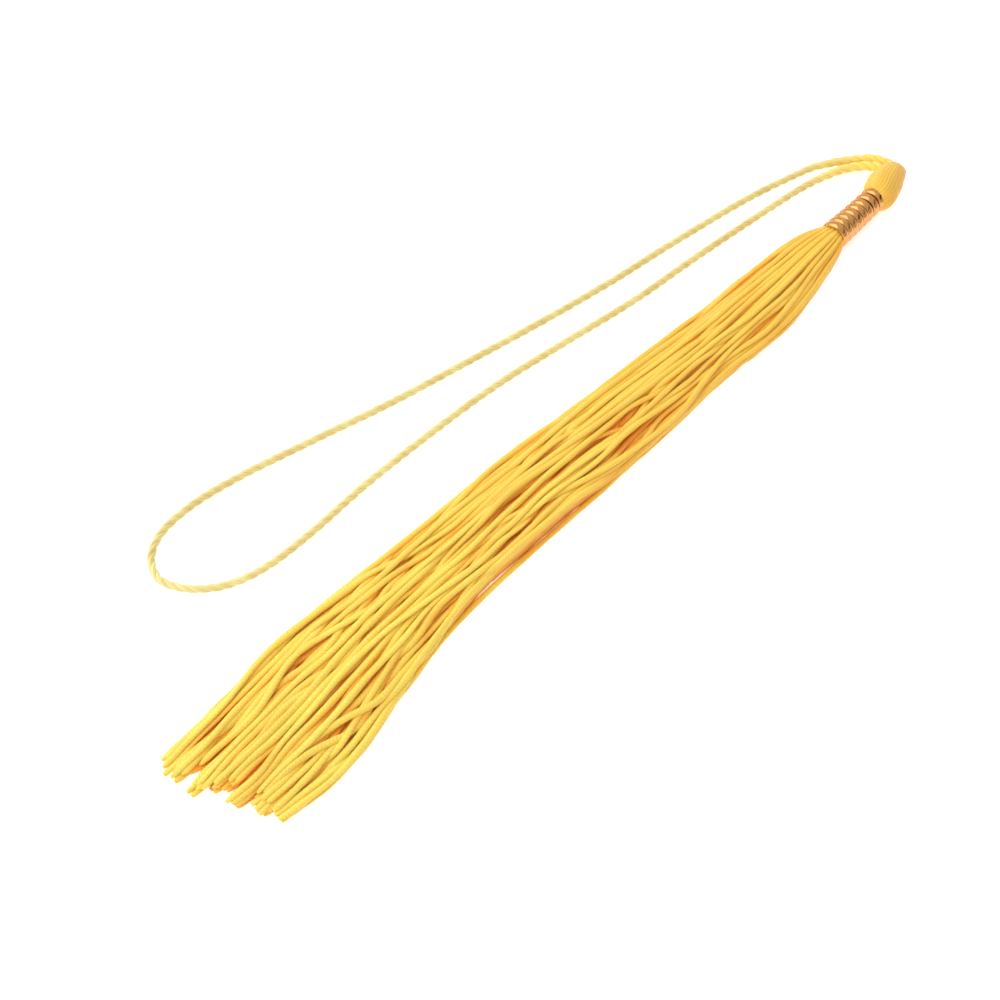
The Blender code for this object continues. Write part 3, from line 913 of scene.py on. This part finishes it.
def headPoint(settings, station, angle, inset):
    middle, halfWidth, halfHeight = readTable(headSections, station)
    turn = angle + math.radians(settings["twist"]) * min(station / 15.0, 1.0)  # the folds wind a little to the band
    side = math.cos(turn)
    y = middle + (halfWidth - inset) * side
    z = axisHeight + (halfHeight - min(inset, 0.5 * halfHeight)) * math.sin(turn)
    lean = settings["lean"] * float(smoothStep(10.0, 15.0, station)) * side  # the band's edge lies aslant
    return headTip - station + lean, y, z


def foldRadius(settings, station):
    # wide enough for neighbours to overlap all round the head
    halfWidth, halfHeight = readTable(headSections, station)[1:]
    radius = math.pi * (halfWidth + halfHeight) / (4.0 * settings["folds"]) * settings["overlap"]
    return max(radius, settings["smallest"])


def makeFolds(settings):
    reach = settings["last"] - settings["first"]
    shares = [step / settings["stepCount"] for step in range(settings["stepCount"] + 1)]
    stations = [settings["first"] + reach * (1.0 - share) ** 1.35 for share in shares]  # closer steps at the tip
    lines = []
    for fold in range(settings["folds"]):
        angle = math.pi * (fold + 0.5) / settings["folds"]
        # painted shade: a little orange all round the head, and more on the side away from the key light
        deep = 0.08 + 0.42 * float(smoothStep(-0.2, 1.0, -math.cos(angle)))  # more orange on the far side
        line = []
        for side, run in ((1.0, stations), (-1.0, reversed(stations))):
            for station in run:
                radius = foldRadius(settings, station)
                inset = radius * settings["inset"]
                x, y, z = headPoint(settings, station, side * angle, inset)
                line.append((x, y, max(z, inset), radius, 0.0, deep))
        lines.append(line)
    source = lineObject("foldLines", lines)
    values = {
        "Ring step": settings["ringStep"] * mm, "Ring points": settings["ringPoints"],
        "Flatness": settings["flatness"], "Seed": settings["seed"], "Material": yarn,
    }
    piece = runTree(source, strands, values, "head_folds")
    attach(piece, "root")
    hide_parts("yarn_hank")


def makeFilling(settings):
    # the strands inside the head and neck, which only show as depth between the outer ones
    sides, share = settings["fillSides"], settings["fillShare"]
    bm = bmesh.new()
    rings = []
    for station, middle, halfWidth, halfHeight in headSections[1:]:
        ring = []
        for index in range(sides):
            angle = 2.0 * math.pi * index / sides
            y = middle + halfWidth * share * math.cos(angle)
            z = axisHeight + halfHeight * share * math.sin(angle)
            ring.append(bm.verts.new(((headTip - station) * mm, y * mm, max(z, 0.2) * mm)))
        rings.append(ring)
    for ring, after in zip(rings, rings[1:]):
        for index in range(sides):
            follow = (index + 1) % sides
            bm.faces.new((ring[index], ring[follow], after[follow], after[index]))
    bm.faces.new(rings[0])
    bm.faces.new(tuple(reversed(rings[-1])))
    bmesh.ops.recalc_face_normals(bm, faces=bm.faces)
    mesh = bpy.data.meshes.new("head_filling")
    bm.to_mesh(mesh)
    bm.free()
    mesh.shade_smooth()
    mesh.materials.append(yarn)
    piece = bpy.data.objects.new("head_filling", mesh)
    bpy.context.scene.collection.objects.link(piece)
    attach(piece, "root")
    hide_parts("yarn_hank")


makeFolds(headSettings)
makeFilling(headSettings)
print("head made")


# Neck winding: copper-gold wire, turn beside turn

windingSettings = {
    "turnStations": (17.0, 19.4, 21.75, 23.8, 25.95, 28.0, 30.0, 32.0), "jog": 0.17, "tilt": 0.12,
    "wireHeight": 0.72, "wireWidth": 1.06, "stepsPerTurn": 72, "ringPoints": 20, "tuckedSteps": 4,
    "darkColour": (0.62, 0.295, 0.088, 1.0), "lightColour": (0.70, 0.35, 0.125, 1.0),
    "fibreLay": 0.9, "fibres": 5.0, "relief": 0.02,
}
# Outside of the winding: station, middle across, radius
windingSections = (
    (15.0, 0.0, 3.3),
    (21.0, 0.0, 3.35),
    (27.0, 0.05, 3.5),
    (31.0, 0.15, 3.65),
    (34.0, 0.2, 3.7),
)


def windingTree():
    # the coil's normal points away from the neck, and a flat oval section is swept along it
    tree, entry, leave = newTree("woundWire", (
        ("Wire half height", "NodeSocketFloat"), ("Wire half width", "NodeSocketFloat"),
        ("Ring points", "NodeSocketInt"), ("Neck axis height", "NodeSocketFloat"), ("Material", "NodeSocketMaterial"),
    ))
    along = addNode(tree, "GeometryNodeSplineParameter").outputs["Length"]
    line = storeValue(tree, entry["Geometry"], "along", along)
    place = axesOf(tree, addNode(tree, "GeometryNodeInputPosition").outputs[0])
    outward = addNode(tree, "ShaderNodeCombineXYZ")
    feed(tree, outward.inputs["Y"], place["Y"])
    feed(tree, outward.inputs["Z"], math2(tree, "SUBTRACT", place["Z"], entry["Neck axis height"]))
    normal = addNode(tree, "GeometryNodeSetCurveNormal", mode="FREE")
    feed(tree, normal.inputs["Curve"], line)
    feed(tree, normal.inputs["Normal"], outward.outputs[0])
    profile = ringProfile(tree, entry["Ring points"], acrossAxis="Y", upwardAxis="X")
    profile = squashProfile(tree, profile, entry["Wire half height"], entry["Wire half width"])
    finishTree(tree, sweepLine(tree, normal.outputs[0], profile), entry["Material"], leave)
    return tree


def wireMaterial(settings):
    material, tree, shader = newMaterial("copperWire")
    cloud = noiseValue(tree, 900.0, 3.0)
    light = rangeOf(tree, cloud, 0.35, 0.65, 0.0, 1.0)
    colour = mixColour(tree, light, settings["darkColour"], settings["lightColour"])
    feed(tree, shader.inputs["Base Color"], colour)
    shader.inputs["Metallic"].default_value = 1.0
    feed(tree, shader.inputs["Roughness"], rangeOf(tree, cloud, 0.3, 0.7, 0.13, 0.2))
    height = patternHeight(tree, fibreGroup, {"Lay": settings["fibreLay"] * mm, "Fibres": settings["fibres"]})
    addRelief(tree, shader, height, 0.25, settings["relief"])
    return material


def makeWinding(settings):
    # parallel turns that step on to the next place underneath the neck, where both ends are tucked away too
    places, tucked = settings["turnStations"], settings["tuckedSteps"]
    line = []
    for step in range(tucked, settings["stepsPerTurn"] * len(places) - tucked + 1):
        turns = step / settings["stepsPerTurn"]
        after = int(turns + 0.5)
        share = float(smoothStep(-settings["jog"], settings["jog"], turns - after))
        station = places[max(after - 1, 0)] * (1.0 - share) + places[min(after, len(places) - 1)] * share
        around = math.radians(270.0) - 2.0 * math.pi * turns
        station += settings["tilt"] * math.cos(around)
        middle, radius = readTable(windingSections, station)
        reach = radius - settings["wireHeight"]
        y, z = middle + reach * math.cos(around), axisHeight + reach * math.sin(around)
        line.append((headTip - station, y, z))
    source = curveObject("coilLine", [line])
    values = {
        "Wire half height": settings["wireHeight"] * mm, "Wire half width": settings["wireWidth"] * mm,
        "Ring points": settings["ringPoints"], "Neck axis height": axisHeight * mm, "Material": wireMaterial(settings),
    }
    piece = runTree(source, windingTree(), values, "wound_wire")
    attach(piece, "root")
    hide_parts("neck_winding")


makeWinding(windingSettings)


# Floor and light: sizes in metres, places in millimetres

stageSettings = {
    "floorSize": (6.0, 6.0), "floorGrey": 0.93, "floorGlow": 0.55, "worldDark": 0.73, "worldBright": 0.96,
    "keyPower": 4.1, "keySize": 0.95, "keyPlace": (-380.0, 400.0, 560.0), "keyTarget": (-110.0, 5.0, 0.0),
    "cardSize": (0.9, 0.17), "cardPlace": (215.0, -411.0, 380.0), "cardTarget": (-10.0, 0.0, 5.0), "cardGrey": 0.02,
}


def makeKey(settings):
    light = bpy.data.lights.new("keyLight", "AREA")
    light.shape = "SQUARE"
    light.size = settings["keySize"]
    light.energy = settings["keyPower"]
    place = Vector(settings["keyPlace"])
    lamp = bpy.data.objects.new("keyLight", light)
    lamp.location = place * mm
    lamp.rotation_euler = (Vector(settings["keyTarget"]) - place).to_track_quat("-Z", "Y").to_euler()
    bpy.context.scene.collection.objects.link(lamp)


def makeSheet(name, finish, width, depth, grey, roughness):
    mesh = bpy.data.meshes.new(name)
    x, y = width / 2.0, depth / 2.0
    mesh.from_pydata(((-x, -y, 0.0), (x, -y, 0.0), (x, y, 0.0), (-x, y, 0.0)), [], [(0, 1, 2, 3)])
    material, _, shader = newMaterial(finish)
    setInputs(shader, {"Base Color": (grey, grey, grey, 1.0), "Roughness": roughness})
    mesh.materials.append(material)
    sheet = bpy.data.objects.new(name, mesh)
    bpy.context.scene.collection.objects.link(sheet)
    return sheet, shader


def makeWorld(settings):
    # an even pale studio that is darker on the side away from the key light
    world = bpy.data.worlds.new("studio")
    world.use_nodes = True
    tree = world.node_tree
    toward = axesOf(tree, addNode(tree, "ShaderNodeTexCoord").outputs["Generated"])["Y"]
    back = tree.nodes["Background"]
    back.inputs["Color"].default_value = (1.0, 1.0, 1.0, 1.0)
    strength = rangeOf(tree, toward, -0.7, 0.5, settings["worldDark"], settings["worldBright"])
    feed(tree, back.inputs["Strength"], strength)
    bpy.context.scene.world = world


def makeStage(settings):
    floor, shader = makeSheet("floor", "whiteTable", *settings["floorSize"], settings["floorGrey"], 0.7)
    setInputs(shader, {"Emission Color": (1.0, 1.0, 1.0, 1.0), "Emission Strength": settings["floorGlow"]})
    # a dark card that shows in the wire as the line along its side
    card, _ = makeSheet("card", "darkCard", *settings["cardSize"], settings["cardGrey"], 1.0)
    place = Vector(settings["cardPlace"])
    card.location = place * mm
    card.rotation_euler = (Vector(settings["cardTarget"]) - place).to_track_quat("Z", "Y").to_euler()
    makeWorld(settings)
    makeKey(settings)
    bpy.context.scene.view_settings.view_transform = "Standard"


makeStage(stageSettings)
print("stage made")
